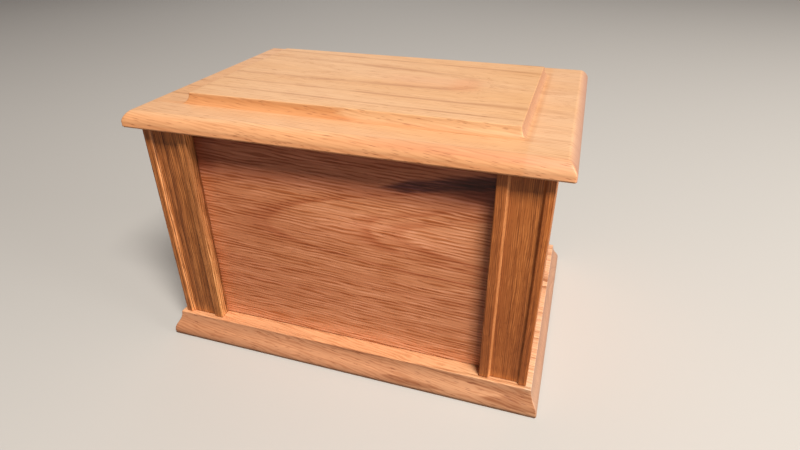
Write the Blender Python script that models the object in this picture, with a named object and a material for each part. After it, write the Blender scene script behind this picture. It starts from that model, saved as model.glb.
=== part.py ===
"""Cremation urn box in solid oak.

A moulded base board carries four walls, two channelled corner strips stand on the front, and a
loose lid with a raised field lies on top. The box inside is hollow and empty.
Metres, +Z up, the front faces -Y, the origin is at the middle of the underside.
"""
import math

import bmesh
import bpy

# Driving sizes of the case, in metres. The case is the four walls with the strips on the front.
CASE_WIDTH = 0.2610
CASE_DEPTH = 0.1810
CASE_HEIGHT = 0.1510
WALL_THICKNESS = 0.0180
PANEL_RECESS = 0.0090
WALL_ARRIS = 0.0006
JOINT_GAP = 0.0003

# Corner strips on the front
STRIP_WIDTH = 0.0314
OUTER_FILLET_WIDTH = 0.0048
INNER_FILLET_WIDTH = 0.0061
CHANNEL_DEPTH = 0.0019
CHANNEL_SLOPE_WIDTH = 0.0014
STRIP_ARRIS = 0.0005

# Base board: a ledge round the case, then an ogee edge
BASE_THICKNESS = 0.0190
LEDGE_SIDE = 0.0039
LEDGE_FRONT = 0.0023
OGEE_REACH = 0.0056
OGEE_BEAD_SHARE = 0.48
OGEE_TURN_HEIGHT = 0.0098
BEAD_FOOT_HEIGHT = 0.0028
BASE_FOOT_ROUND = 0.0012
BASE_FOOT_INSET = 0.0005
LEDGE_ARRIS = 0.0005

# Lid: a rounded edge, a flat border, a cove and a raised field
LID_THICKNESS = 0.0170
LID_BORDER_THICKNESS = 0.0104
LID_OVERHANG_SIDE = 0.0095
LID_OVERHANG_FRONT = 0.0062
LID_EDGE_FLAT = 0.0036
LID_EDGE_INSET = 0.0060
LID_EDGE_FULLNESS = 1.5
LID_FOOT_ARRIS = 0.0006
BORDER_SIDE = 0.0323
BORDER_FRONT = 0.0294
COVE_WIDTH = 0.0042
FIELD_ARRIS = 0.0004

# How finely the curved edges are cut into flats
CURVE_STEPS = 8
ARRIS_STEPS = 3

# Places that follow from the sizes
LEDGE_HALF_WIDTH = CASE_WIDTH / 2 + LEDGE_SIDE
LEDGE_HALF_DEPTH = CASE_DEPTH / 2 + LEDGE_FRONT
LID_HALF_WIDTH = CASE_WIDTH / 2 + LID_OVERHANG_SIDE
LID_HALF_DEPTH = CASE_DEPTH / 2 + LID_OVERHANG_FRONT
PANEL_FACE_Y = -CASE_DEPTH / 2 + PANEL_RECESS
BACK_FACE_Y = CASE_DEPTH / 2
WALL_FOOT_Z = BASE_THICKNESS + JOINT_GAP
LID_UNDERSIDE_Z = BASE_THICKNESS + CASE_HEIGHT
WALL_TOP_Z = LID_UNDERSIDE_Z - JOINT_GAP

# Finish of each kind of piece: linear base colour, roughness, metallic
FINISHES = {
    "oak_lid": ((0.68, 0.40, 0.20), 0.42, 0.0),
    "oak_base": ((0.62, 0.34, 0.17), 0.42, 0.0),
    "oak_wall": ((0.44, 0.21, 0.10), 0.45, 0.0),
    "oak_strip": ((0.36, 0.17, 0.07), 0.45, 0.0),
}


def clear_scene():
    """Removes every object, so that the script can be run again in the same file."""
    for thing in list(bpy.data.objects):
        bpy.data.objects.remove(thing, do_unlink=True)


def make_finish(name):
    """A Principled material with the finish's plain values."""
    colour, roughness, metallic = FINISHES[name]
    material = bpy.data.materials.new(name)
    material.use_nodes = True
    shader = material.node_tree.nodes["Principled BSDF"]
    shader.inputs["Base Color"].default_value = (*colour, 1.0)
    shader.inputs["Roughness"].default_value = roughness
    shader.inputs["Metallic"].default_value = metallic
    return material


def add_object(name, data, collection, material):
    """Puts the mesh or curve into the collection as a named object with its finish."""
    thing = bpy.data.objects.new(name, data)
    thing.data.materials.append(material)
    collection.objects.link(thing)
    return thing


def mesh_from(bm, name):
    """Closes the bmesh into a mesh whose faces point out."""
    bmesh.ops.recalc_face_normals(bm, faces=bm.faces)
    mesh = bpy.data.meshes.new(name)
    bm.to_mesh(mesh)
    bm.free()
    return mesh


def make_block(low, high):
    """A box between two corners, as a bmesh."""
    bm = bmesh.new()
    bmesh.ops.create_cube(bm, size=1.0)
    size = [b - a for a, b in zip(low, high)]
    middle = [(a + b) / 2 for a, b in zip(low, high)]
    bmesh.ops.scale(bm, vec=size, verts=bm.verts)
    bmesh.ops.translate(bm, vec=middle, verts=bm.verts)
    return bm


def level_face(bm, upward):
    """The block's face that looks straight up, or straight down."""
    bm.faces.ensure_lookup_table()
    bm.normal_update()
    return max(bm.faces, key=lambda face: face.normal.z if upward else -face.normal.z)


def draw_rings(bm, face, rings):
    """Draws a level face through rings of (half width, half depth, height), one after another."""
    for half_width, half_depth, height in rings:
        face = bmesh.ops.extrude_discrete_faces(bm, faces=[face])["faces"][0]
        for vert in face.verts:
            x = math.copysign(half_width, vert.co.x)
            y = math.copysign(half_depth, vert.co.y)
            vert.co = (x, y, height)
    return face


def quarter_arc(across, along, steps):
    """Points of a quarter round, after its start: it leaves along the second axis, and ends
    along the first."""
    turns = [math.radians(90 * step / steps) for step in range(1, steps + 1)]
    return [(across * (1 - math.cos(turn)), along * math.sin(turn)) for turn in turns]


def inset_rings(half_width, half_depth, points):
    """Rings that lie inside a rectangle by each point's inset, at its height."""
    return [(half_width - inset, half_depth - inset, height) for inset, height in points]


def ogee_points():
    """The base board's edge above its bead's foot: a bead that turns over into a cove."""
    bead_depth = OGEE_REACH * OGEE_BEAD_SHARE
    cove_depth = OGEE_REACH - bead_depth
    ledge_edge_z = BASE_THICKNESS - LEDGE_ARRIS
    points = []
    for step in range(1, CURVE_STEPS + 1):
        share = step / CURVE_STEPS
        height = BEAD_FOOT_HEIGHT + share * (OGEE_TURN_HEIGHT - BEAD_FOOT_HEIGHT)
        points.append((bead_depth * share ** 2, height))
    for step in range(1, CURVE_STEPS + 1):
        share = step / CURVE_STEPS
        height = OGEE_TURN_HEIGHT + share * (ledge_edge_z - OGEE_TURN_HEIGHT)
        points.append((OGEE_REACH - cove_depth * (1 - share) ** 2, height))
    arris = quarter_arc(LEDGE_ARRIS, LEDGE_ARRIS, ARRIS_STEPS)
    return points + [(OGEE_REACH + inset, ledge_edge_z + rise) for inset, rise in arris]


def make_base_board():
    """The board at its widest, drawn up through the ogee and down to the rounded foot."""
    half_width = LEDGE_HALF_WIDTH + OGEE_REACH
    half_depth = LEDGE_HALF_DEPTH + OGEE_REACH
    bm = make_block(
        (-half_width, -half_depth, BASE_FOOT_ROUND), (half_width, half_depth, BEAD_FOOT_HEIGHT))
    foot = [(inset, BASE_FOOT_ROUND - fall)
            for inset, fall in quarter_arc(BASE_FOOT_INSET, BASE_FOOT_ROUND, ARRIS_STEPS)]
    draw_rings(bm, level_face(bm, upward=False), inset_rings(half_width, half_depth, foot))
    draw_rings(bm, level_face(bm, upward=True), inset_rings(half_width, half_depth, ogee_points()))
    return mesh_from(bm, "base_board")


def lid_edge_points():
    """The lid's rounded edge, from the top of its upright part to the flat border."""
    rise = LID_BORDER_THICKNESS - LID_EDGE_FLAT
    points = []
    for step in range(1, CURVE_STEPS + 1):
        turn = math.radians(90 * step / CURVE_STEPS)
        inset = LID_EDGE_INSET * (1 - math.cos(turn) ** (2 / LID_EDGE_FULLNESS))
        height = LID_EDGE_FLAT + rise * math.sin(turn) ** (2 / LID_EDGE_FULLNESS)
        points.append((inset, LID_UNDERSIDE_Z + height))
    return points


def field_rings():
    """Rings of the cove that climbs from the border to the raised field, and of the field's arris."""
    border_z = LID_UNDERSIDE_Z + LID_BORDER_THICKNESS
    field_z = LID_UNDERSIDE_Z + LID_THICKNESS
    wall_top_z = field_z - FIELD_ARRIS
    half_width = LID_HALF_WIDTH - BORDER_SIDE
    half_depth = LID_HALF_DEPTH - BORDER_FRONT
    rings = [(half_width + COVE_WIDTH, half_depth + COVE_WIDTH, border_z)]
    for step in range(1, CURVE_STEPS + 1):
        turn = math.radians(90 * step / CURVE_STEPS)
        out = COVE_WIDTH * (1 - math.sin(turn))
        height = wall_top_z - (wall_top_z - border_z) * math.cos(turn)
        rings.append((half_width + out, half_depth + out, height))
    for inset, rise in quarter_arc(FIELD_ARRIS, FIELD_ARRIS, ARRIS_STEPS):
        rings.append((half_width - inset, half_depth - inset, wall_top_z + rise))
    return rings


def make_lid():
    """The lid board's upright edge, drawn up through the rounded edge to the raised field."""
    bm = make_block(
        (-LID_HALF_WIDTH, -LID_HALF_DEPTH, LID_UNDERSIDE_Z + LID_FOOT_ARRIS),
        (LID_HALF_WIDTH, LID_HALF_DEPTH, LID_UNDERSIDE_Z + LID_EDGE_FLAT))
    foot = [(inset, LID_UNDERSIDE_Z + LID_FOOT_ARRIS - fall)
            for inset, fall in quarter_arc(LID_FOOT_ARRIS, LID_FOOT_ARRIS, ARRIS_STEPS)]
    draw_rings(bm, level_face(bm, upward=False), inset_rings(LID_HALF_WIDTH, LID_HALF_DEPTH, foot))
    edge = inset_rings(LID_HALF_WIDTH, LID_HALF_DEPTH, lid_edge_points())
    draw_rings(bm, level_face(bm, upward=True), edge + field_rings())
    return mesh_from(bm, "lid")


def make_wall(name, low, high, rounded):
    """A wall board. Its upright edges at the given corners (x, y) are softened by an arris."""
    bm = make_block(low, high)
    upright = []
    for edge in bm.edges:
        middle = (edge.verts[0].co + edge.verts[1].co) / 2
        is_upright = abs(edge.verts[0].co.z - edge.verts[1].co.z) > CASE_HEIGHT / 2
        if is_upright and any(math.dist(middle.xy, corner) < WALL_ARRIS for corner in rounded):
            upright.append(edge)
    if upright:
        bmesh.ops.bevel(
            bm, geom=upright, offset=WALL_ARRIS, segments=ARRIS_STEPS, profile=0.5, affect="EDGES")
    return mesh_from(bm, name)


def make_walls(collection, finish):
    """Side walls run the full depth, and the front and back walls stand between them."""
    outer_x = CASE_WIDTH / 2
    inner_x = outer_x - WALL_THICKNESS
    for name, side in (("wall_left", -1), ("wall_right", 1)):
        across = sorted((side * inner_x, side * outer_x))
        low = (across[0], PANEL_FACE_Y, WALL_FOOT_Z)
        high = (across[1], BACK_FACE_Y, WALL_TOP_Z)
        mesh = make_wall(name, low, high, [(side * outer_x, BACK_FACE_Y)])
        add_object(name, mesh, collection, finish)
    between_x = inner_x - JOINT_GAP
    faces = {
        "wall_front": (PANEL_FACE_Y, PANEL_FACE_Y + WALL_THICKNESS),
        "wall_back": (BACK_FACE_Y - WALL_THICKNESS, BACK_FACE_Y),
    }
    for name, (near_y, far_y) in faces.items():
        mesh = make_wall(name, (-between_x, near_y, WALL_FOOT_Z), (between_x, far_y, WALL_TOP_Z), [])
        add_object(name, mesh, collection, finish)


def round_corner(before, corner, after, radius):
    """Points of an arc that touches both sides of a corner of an outline."""
    to_before = math.atan2(before[1] - corner[1], before[0] - corner[0])
    to_after = math.atan2(after[1] - corner[1], after[0] - corner[0])
    opening = (to_after - to_before + math.pi) % math.tau - math.pi
    reach = radius / math.tan(abs(opening) / 2)
    bisector = to_before + opening / 2
    to_centre = radius / math.sin(abs(opening) / 2)
    centre = (corner[0] + to_centre * math.cos(bisector), corner[1] + to_centre * math.sin(bisector))
    start = (corner[0] + reach * math.cos(to_before), corner[1] + reach * math.sin(to_before))
    first = math.atan2(start[1] - centre[1], start[0] - centre[0])
    sweep = -math.copysign(math.pi - abs(opening), opening)
    return [
        (centre[0] + radius * math.cos(first + sweep * step / ARRIS_STEPS),
         centre[1] + radius * math.sin(first + sweep * step / ARRIS_STEPS))
        for step in range(ARRIS_STEPS + 1)]


def strip_outline():
    """A strip's section, seen from above: x runs inward from its outer side, y from its face
    back to the panel."""
    back = PANEL_RECESS - JOINT_GAP
    channel_start = OUTER_FILLET_WIDTH + CHANNEL_SLOPE_WIDTH
    channel_end = STRIP_WIDTH - INNER_FILLET_WIDTH - CHANNEL_SLOPE_WIDTH
    corners = [
        (0.0, back, 0.0),
        (0.0, 0.0, STRIP_ARRIS),
        (OUTER_FILLET_WIDTH, 0.0, STRIP_ARRIS),
        (channel_start, CHANNEL_DEPTH, STRIP_ARRIS),
        (channel_end, CHANNEL_DEPTH, STRIP_ARRIS),
        (STRIP_WIDTH - INNER_FILLET_WIDTH, 0.0, STRIP_ARRIS),
        (STRIP_WIDTH, 0.0, STRIP_ARRIS),
        (STRIP_WIDTH, back, 0.0),
    ]
    outline = []
    for index, (x, y, radius) in enumerate(corners):
        if radius:
            before = corners[index - 1]
            after = corners[(index + 1) % len(corners)]
            outline += round_corner(before, (x, y), after, radius)
        else:
            outline.append((x, y))
    return outline


def make_strip(name, side, collection, finish):
    """A corner strip: its section as a flat outline, drawn to the height of the walls."""
    outline = [
        (side * (CASE_WIDTH / 2 - inward), -CASE_DEPTH / 2 + back) for inward, back in strip_outline()]
    curve = bpy.data.curves.new(name, "CURVE")
    curve.dimensions = "2D"
    curve.fill_mode = "BOTH"
    curve.extrude = (WALL_TOP_Z - WALL_FOOT_Z) / 2
    spline = curve.splines.new("POLY")
    spline.points.add(len(outline) - 1)
    for point, (x, y) in zip(spline.points, outline):
        point.co = (x, y, 0.0, 1.0)
    spline.use_cyclic_u = True
    strip = add_object(name, curve, collection, finish)
    strip.location.z = (WALL_TOP_Z + WALL_FOOT_Z) / 2


def main():
    clear_scene()
    collection = bpy.data.collections.new("cremation_urn_box")
    bpy.context.scene.collection.children.link(collection)
    finishes = {name: make_finish(name) for name in FINISHES}
    add_object("base_board", make_base_board(), collection, finishes["oak_base"])
    make_walls(collection, finishes["oak_wall"])
    make_strip("strip_left", -1, collection, finishes["oak_strip"])
    make_strip("strip_right", 1, collection, finishes["oak_strip"])
    add_object("lid", make_lid(), collection, finishes["oak_lid"])


main()
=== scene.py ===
import math

import bmesh
import bpy
from mathutils import Matrix, Vector


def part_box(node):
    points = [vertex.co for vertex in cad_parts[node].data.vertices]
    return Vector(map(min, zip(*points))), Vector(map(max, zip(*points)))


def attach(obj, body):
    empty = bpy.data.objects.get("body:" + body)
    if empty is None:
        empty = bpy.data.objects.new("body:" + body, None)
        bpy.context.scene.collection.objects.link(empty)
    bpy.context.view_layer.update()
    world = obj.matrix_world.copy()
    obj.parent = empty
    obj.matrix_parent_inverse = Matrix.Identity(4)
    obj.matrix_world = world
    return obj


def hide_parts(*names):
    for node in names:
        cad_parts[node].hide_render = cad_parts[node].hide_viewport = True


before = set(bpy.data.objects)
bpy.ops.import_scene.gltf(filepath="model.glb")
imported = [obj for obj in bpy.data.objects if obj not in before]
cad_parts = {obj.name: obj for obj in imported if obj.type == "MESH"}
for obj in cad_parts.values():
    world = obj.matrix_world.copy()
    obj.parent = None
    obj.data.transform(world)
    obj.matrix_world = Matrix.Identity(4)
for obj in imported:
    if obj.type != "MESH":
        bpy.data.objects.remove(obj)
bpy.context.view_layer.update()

scene = bpy.context.scene
print("frame loaded:", len(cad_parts), "boards")


# Shader tree helpers

def plug(tree, socket, value):
    if isinstance(value, bpy.types.NodeSocket):
        tree.links.new(value, socket)
    elif value is not None:
        socket.default_value = value


def put(tree, kind, inputs=None, **settings):
    node = tree.nodes.new(kind)
    for name, value in settings.items():
        setattr(node, name, value)
    for name, value in (inputs or {}).items():
        plug(tree, node.inputs[name], value)
    return node


def calc(tree, operation, *values, clamp=False):
    node = put(tree, "ShaderNodeMath", operation=operation, use_clamp=clamp)
    for index, value in enumerate(values):
        plug(tree, node.inputs[index], value)
    return node.outputs[0]


def ease(tree, value, low, high, start=0.0, end=1.0):     # smooth step from low to high
    node = put(tree, "ShaderNodeMapRange", interpolation_type="SMOOTHSTEP")
    names = ("Value", "From Min", "From Max", "To Min", "To Max")
    for name, given in zip(names, (value, low, high, start, end)):
        plug(tree, node.inputs[name], given)
    return node.outputs["Result"]


def between(tree, factor, low, high):                     # plain mix of two numbers
    node = put(tree, "ShaderNodeMix", data_type="FLOAT")
    for index, value in zip((0, 2, 3), (factor, low, high)):
        plug(tree, node.inputs[index], value)
    return node.outputs[0]


def tint(tree, factor, first, second, mode="MIX"):        # mix of two colours
    node = put(tree, "ShaderNodeMix", data_type="RGBA", blend_type=mode)
    for index, value in zip((0, 6, 7), (factor, first, second)):
        plug(tree, node.inputs[index], value)
    return node.outputs[2]


def split(tree, vector):
    return put(tree, "ShaderNodeSeparateXYZ", {"Vector": vector}).outputs


def join(tree, x=0.0, y=0.0, z=0.0):
    return put(tree, "ShaderNodeCombineXYZ", {"X": x, "Y": y, "Z": z}).outputs[0]


def vectorCalc(tree, operation, *values):
    return put(tree, "ShaderNodeVectorMath", dict(enumerate(values)), operation=operation).outputs[0]


def noise(tree, vector, scale, detail=2.0):               # scale in waves per metre on each axis
    place = vectorCalc(tree, "MULTIPLY", vector, scale) if scale else vector
    return put(tree, "ShaderNodeTexNoise", {"Vector": place, "Scale": 1.0, "Detail": detail}).outputs["Fac"]


def newGroup(name, inputs, outputs):
    # An input without a value is a vector. Outputs are given with their kinds.
    tree = bpy.data.node_groups.new(name, "ShaderNodeTree")
    for label, value in inputs.items():
        kind = "NodeSocketVector" if value is None else "NodeSocketFloat"
        socket = tree.interface.new_socket(name=label, in_out="INPUT", socket_type=kind)
        if value is not None:
            socket.default_value = value
    for label, kind in outputs.items():
        tree.interface.new_socket(name=label, in_out="OUTPUT", socket_type=kind)
    return tree, put(tree, "NodeGroupInput").outputs, put(tree, "NodeGroupOutput").inputs


# Board space is (along the grain, across the board, into its depth), in metres.
noiseMean = 0.5

ringShape = dict(
    wanderScale=(9.0, 30.0, 30.0),                        # waves of the pith along and across the board
    archCore=0.4,                                         # share of the arch reach that rises in full
    yearPace=0.43, yearSpread=2.2,                        # how unlike the years are in width
    depthLean=0.7)                                        # how far the fibre leans over with depth


def growthRings(shape):
    # Rings are tubes round the pith, which rises and sinks under the face, so they
    # break out of it as nested arches. Fibre is (along, across, out from the pith).
    tree, given, result = newGroup("growth rings", {
        "Board": None, "Centre": 0.0, "Drift": 0.0, "Pith Depth": 0.08, "Slope": 0.0,
        "Swell": 0.0, "Swell Centre": 0.0, "Swell Flat": 0.0, "Swell Reach": 0.05, "Arch Reach": 0.06,
        "Ring Width": 0.004, "Wander": 0.003, "Fibre Tilt": 0.0},
        {"Rings": "NodeSocketFloat", "Fibre": "NodeSocketVector", "Offset": "NodeSocketFloat"})
    along, across, depth = split(tree, given["Board"])[:3]
    slow = put(tree, "ShaderNodeTexNoise", {
        "Vector": vectorCalc(tree, "MULTIPLY", given["Board"], shape["wanderScale"]),
        "Scale": 1.0, "Detail": 1.0})
    shift = split(tree, vectorCalc(tree, "SUBTRACT", slow.outputs["Color"], (noiseMean, noiseMean, noiseMean)))
    centre = calc(tree, "MULTIPLY_ADD", along, given["Drift"], given["Centre"])
    sideways = calc(tree, "MULTIPLY_ADD", shift[0], given["Wander"], calc(tree, "SUBTRACT", across, centre))
    away = calc(tree, "ABSOLUTE", calc(tree, "SUBTRACT", along, given["Swell Centre"]))
    rise = ease(tree, away, given["Swell Flat"], given["Swell Reach"], given["Swell"], 0.0)
    rise = calc(tree, "MULTIPLY_ADD", along, given["Slope"], rise)
    offset = calc(tree, "ABSOLUTE", sideways)
    core = calc(tree, "MULTIPLY", given["Arch Reach"], shape["archCore"])
    near = ease(tree, offset, core, given["Arch Reach"], 1.0, 0.0)
    pith = calc(tree, "MULTIPLY_ADD", rise, near, calc(tree, "ADD", given["Pith Depth"], depth))
    pith = calc(tree, "MULTIPLY_ADD", shift[1], given["Wander"], pith)
    radius = calc(tree, "SQRT", calc(tree, "ADD", calc(tree, "MULTIPLY", sideways, sideways),
                                     calc(tree, "MULTIPLY", pith, pith)))
    plain = calc(tree, "DIVIDE", radius, given["Ring Width"])
    uneven = put(tree, "ShaderNodeTexNoise", {"W": plain, "Scale": shape["yearPace"], "Detail": 1.0},
                 noise_dimensions="1D").outputs["Fac"]
    tree.links.new(calc(tree, "MULTIPLY_ADD", uneven, shape["yearSpread"], plain), result["Rings"])
    lean = calc(tree, "MULTIPLY_ADD", depth, shape["depthLean"], sideways)
    lean = calc(tree, "MULTIPLY_ADD", along, given["Fibre Tilt"], lean)
    tree.links.new(join(tree, along, lean, radius), result["Fibre"])
    tree.links.new(offset, result["Offset"])
    return tree


bandShape = dict(
    strongYears=(0.25, 0.95),                             # lots of the weakest and of the strongest years
    earlyFade=(0.04, 0.7), earlyStart=0.05,               # in shares of one ring
    lineStart=0.03)


def ringBands(shape):
    # Early wood starts at a crisp line and fades through the ring. Some years are stronger.
    tree, given, result = newGroup("ring bands", {"Rings": 0.0, "Crisp": 0.1, "Contrast": 0.6},
                                   {"Early": "NodeSocketFloat", "Line": "NodeSocketFloat"})
    share = calc(tree, "FRACT", given["Rings"])
    year = put(tree, "ShaderNodeTexWhiteNoise", {"W": calc(tree, "FLOOR", given["Rings"])},
               noise_dimensions="1D").outputs["Value"]
    strength = between(tree, given["Contrast"], 1.0, ease(tree, year, *shape["strongYears"]))
    early = ease(tree, share, *shape["earlyFade"], 1.0, 0.0)
    early = calc(tree, "MULTIPLY", early, ease(tree, share, 0.0, shape["earlyStart"]))
    line = ease(tree, share, 0.0, shape["lineStart"])
    line = calc(tree, "MULTIPLY", line, ease(tree, share, shape["lineStart"], given["Crisp"], 1.0, 0.0))
    tree.links.new(calc(tree, "MULTIPLY", early, strength), result["Early"])
    tree.links.new(calc(tree, "MULTIPLY", line, strength), result["Line"])
    return tree


yearShape = dict(
    faintScale=(34.0, 120.0, 300.0), faintEdge=(0.3, 0.6), faintest=0.35,
    overPith=0.1,                                         # strength left right over the pith
    paleLength=0.010, paleShare=0.45)                     # how a line pales from Pale From on


def darkYears(shape):
    # A few years that left a strong line, each by its distance from the pith.
    tree, given, result = newGroup("dark years", {
        "Fibre": None, "Offset": 0.05, "First": 0.05, "Second": 0.06, "Third": 0.07, "Thickness": 0.0008,
        "Soft": 0.0003, "Tip Fade": 0.0001, "Pale From": 1.0},
        {"Years": "NodeSocketFloat"})
    fibre = split(tree, given["Fibre"])
    along, radius = fibre[0], fibre[2]
    softStart = calc(tree, "MULTIPLY", given["Soft"], -1.0)
    marks = None
    for name in ("First", "Second", "Third"):
        past = calc(tree, "SUBTRACT", radius, given[name])
        mark = ease(tree, past, softStart, given["Soft"])
        mark = calc(tree, "MULTIPLY", mark, ease(tree, past, 0.0, given["Thickness"], 1.0, 0.0))
        marks = mark if marks is None else calc(tree, "MAXIMUM", marks, mark)
    tip = ease(tree, given["Offset"], 0.0, given["Tip Fade"], shape["overPith"], 1.0)
    marks = calc(tree, "MULTIPLY", marks, tip)
    further = calc(tree, "SUBTRACT", along, given["Pale From"])
    paled = ease(tree, further, 0.0, shape["paleLength"], 1.0, shape["paleShare"])
    marks = calc(tree, "MULTIPLY", marks, paled)
    faint = noise(tree, given["Fibre"], shape["faintScale"])
    faint = ease(tree, faint, *shape["faintEdge"], shape["faintest"], 1.0)
    tree.links.new(calc(tree, "MULTIPLY", marks, faint), result["Years"])
    return tree


poreShape = dict(
    bendScale=(40.0, 160.0, 160.0), bend=0.0016,          # the slits waver with the grain
    rim=(0.12, 0.34),                                     # in shares of a cell
    keptSoft=0.15)                                        # how softly crowding lets a slit in


def openPores(shape):
    # Short slits along the grain, crowded where the early wood is.
    tree, given, result = newGroup("open pores", {
        "Fibre": None, "Early": 0.0, "Length": 0.011, "Width": 0.0008, "Crowding": 0.5},
        {"Pores": "NodeSocketFloat"})
    bend = noise(tree, given["Fibre"], shape["bendScale"], detail=1.0)
    x, y, z = split(tree, given["Fibre"])[:3]
    y = calc(tree, "MULTIPLY_ADD", bend, shape["bend"], y)
    size = given["Width"]
    cells = join(tree, calc(tree, "DIVIDE", x, given["Length"]), calc(tree, "DIVIDE", y, size),
                 calc(tree, "DIVIDE", z, size))
    spots = put(tree, "ShaderNodeTexVoronoi", {"Vector": cells, "Scale": 1.0, "Randomness": 1.0})
    slit = ease(tree, spots.outputs["Distance"], *shape["rim"], 1.0, 0.0)
    chance = split(tree, spots.outputs["Color"])[0]
    wanted = between(tree, given["Early"], given["Crowding"], 1.0)
    kept = ease(tree, calc(tree, "SUBTRACT", wanted, chance), 0.0, shape["keptSoft"])
    tree.links.new(calc(tree, "MULTIPLY", slit, kept), result["Pores"])
    return tree


fleckShape = dict(
    waverScale=(30.0, 130.0, 60.0),
    rowStep=7.31, depthScale=40.0,                        # keep the breaks of the rows apart
    emptyLevel=1.25, coverageStep=0.7, soft=0.35,         # what a dash has to pass, and its soft rim
    gleamScale=420.0, gleamPlace=3.7, gleamGap=(0.1, 0.6), gleamEdge=(0.45, 0.65))


def rayFlecks(shape):
    # Rows of fine dashes along the grain, with paler wood between that carries a painted gleam.
    # Each row is broken in places of its own.
    tree, given, result = newGroup("ray flecks", {
        "Fibre": None, "Length": 0.016, "Spacing": 0.0028, "Coverage": 0.5, "Waver": 1.5},
        {"Flecks": "NodeSocketFloat", "Gleam": "NodeSocketFloat", "Ripple": "NodeSocketFloat"})
    x, y, z = split(tree, given["Fibre"])[:3]
    waver = noise(tree, given["Fibre"], shape["waverScale"])
    row = calc(tree, "MULTIPLY_ADD", waver, given["Waver"], calc(tree, "DIVIDE", y, given["Spacing"]))
    number = calc(tree, "FLOOR", row)
    share = calc(tree, "MULTIPLY_ADD", calc(tree, "FRACT", row), 2.0, -1.0)
    ridge = calc(tree, "SUBTRACT", 1.0, calc(tree, "ABSOLUTE", share))
    run = calc(tree, "DIVIDE", x, given["Length"])
    place = join(tree, run, calc(tree, "MULTIPLY", number, shape["rowStep"]),
                 calc(tree, "MULTIPLY", z, shape["depthScale"]))
    broken = noise(tree, place, None, detail=1.0)
    place = join(tree, run, calc(tree, "MULTIPLY", y, shape["gleamScale"]), shape["gleamPlace"])
    shining = noise(tree, place, None, detail=1.0)
    dark = calc(tree, "MULTIPLY_ADD", broken, 2.0, calc(tree, "SUBTRACT", ridge, 1.0))
    level = calc(tree, "MULTIPLY_ADD", given["Coverage"], -shape["coverageStep"], shape["emptyLevel"])
    tree.links.new(ease(tree, dark, calc(tree, "SUBTRACT", level, shape["soft"]), level), result["Flecks"])
    pale = ease(tree, ridge, *shape["gleamGap"], 1.0, 0.0)
    pale = calc(tree, "MULTIPLY", pale, ease(tree, shining, *shape["gleamEdge"]))
    tree.links.new(pale, result["Gleam"])
    tree.links.new(calc(tree, "MULTIPLY", ridge, broken), result["Ripple"])
    return tree


zoneShape = dict(raggedScale=(50.0, 500.0, 200.0))


def softZone(shape):
    # A box in the board with soft edges, ragged along the grain.
    tree, given, result = newGroup("soft zone", {
        "Board": None, "Centre": None, "Half Size": None, "Fade": None, "Ragged": 0.0},
        {"Share": "NodeSocketFloat"})
    off = vectorCalc(tree, "ABSOLUTE", vectorCalc(tree, "SUBTRACT", given["Board"], given["Centre"]))
    reach = vectorCalc(tree, "SUBTRACT", given["Half Size"], off)
    uneven = noise(tree, given["Board"], shape["raggedScale"])
    uneven = calc(tree, "MULTIPLY", calc(tree, "SUBTRACT", uneven, noiseMean), given["Ragged"])
    inside = None
    for distance, fade in zip(split(tree, reach)[:3], split(tree, given["Fade"])[:3]):
        if inside is None:
            distance = calc(tree, "ADD", distance, uneven)
        half = calc(tree, "MULTIPLY", fade, 0.5)
        part = ease(tree, distance, calc(tree, "MULTIPLY", half, -1.0), half)
        inside = part if inside is None else calc(tree, "MULTIPLY", inside, part)
    tree.links.new(inside, result["Share"])
    return tree


wearShape = dict(
    waveScale=(14.0, 26.0, 26.0), napScale=(420.0, 900.0, 900.0), waveShare=0.6, napShare=0.4,
    lineScale=(60.0, 900.0, 900.0), lineEdge=(0.6, 0.72),
    patchScale=(30.0, 30.0, 30.0), patchEdge=(0.52, 0.7))


def satinWear(shape):
    # How evenly the clear finish lies: slow waves, a fine nap and a few rubbed scratches.
    tree, given, result = newGroup("satin wear", {"Board": None, "Rubbed": 0.3},
                                   {"Sheen": "NodeSocketFloat", "Scratches": "NodeSocketFloat",
                                    "Waves": "NodeSocketFloat"})
    waves, nap, lines, patches = (
        noise(tree, given["Board"], shape[name + "Scale"]) for name in ("wave", "nap", "line", "patch"))
    rubbed = calc(tree, "MULTIPLY", ease(tree, patches, *shape["patchEdge"]),
                  ease(tree, lines, *shape["lineEdge"]))
    scratches = calc(tree, "MULTIPLY", rubbed, given["Rubbed"])
    sheen = calc(tree, "ADD", calc(tree, "MULTIPLY", waves, shape["waveShare"]),
                 calc(tree, "MULTIPLY", nap, shape["napShare"]))
    tree.links.new(sheen, result["Sheen"])
    tree.links.new(scratches, result["Scratches"])
    tree.links.new(waves, result["Waves"])
    return tree


streakShape = dict(
    raggedScale=(60.0, 420.0, 60.0), ragged=0.004, rim=(-0.0024, 0.0012),
    threadScale=(70.0, 1300.0, 300.0), threadEdge=(0.25, 0.6), thinnest=0.55,
    tipFade=(-0.010, 0.024))


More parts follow.
